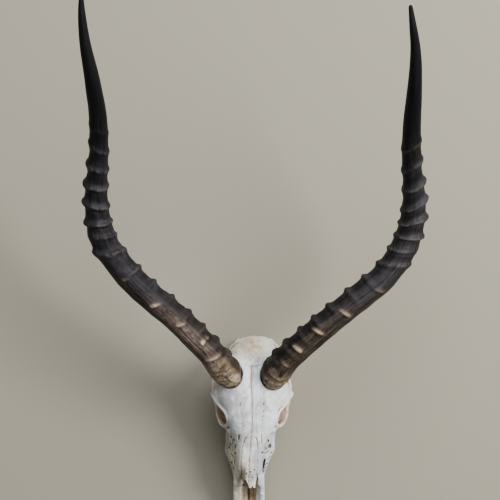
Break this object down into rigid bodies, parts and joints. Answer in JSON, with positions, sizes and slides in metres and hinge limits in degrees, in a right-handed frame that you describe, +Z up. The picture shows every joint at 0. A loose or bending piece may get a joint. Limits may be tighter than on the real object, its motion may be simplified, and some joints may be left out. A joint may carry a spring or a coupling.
{
  "type": "impala skull with horns",
  "caption": "Impala ram's skull without its lower jaw, with both long ridged horns that sweep up, outwards and back, lying palate down on its cheek teeth.",
  "frame": {"origin": "middle of the whole outline on the surface it lies on", "axes": "+Z up, out of the forehead; the nose points to -Y and the horn tips to +Y; +X is the right-hand side of the picture"},
  "size_m": [0.4296, 0.6784, 0.3289],
  "materials": {
    "bone": "dry weathered bone",
    "horn": "satin keratin, fibrous along its length",
    "tooth": "satin enamel"
  },
  "bodies": {
    "root": {"skull": "bone", "left_horn": "horn", "right_horn": "horn", "left_premolar_1": "tooth", "left_premolar_2": "tooth", "left_premolar_3": "tooth", "left_molar_1": "tooth", "left_molar_2": "tooth", "left_molar_3": "tooth", "right_premolar_1": "tooth", "right_premolar_2": "tooth", "right_premolar_3": "tooth", "right_molar_1": "tooth", "right_molar_2": "tooth", "right_molar_3": "tooth"}
  },
  "joints": []
}
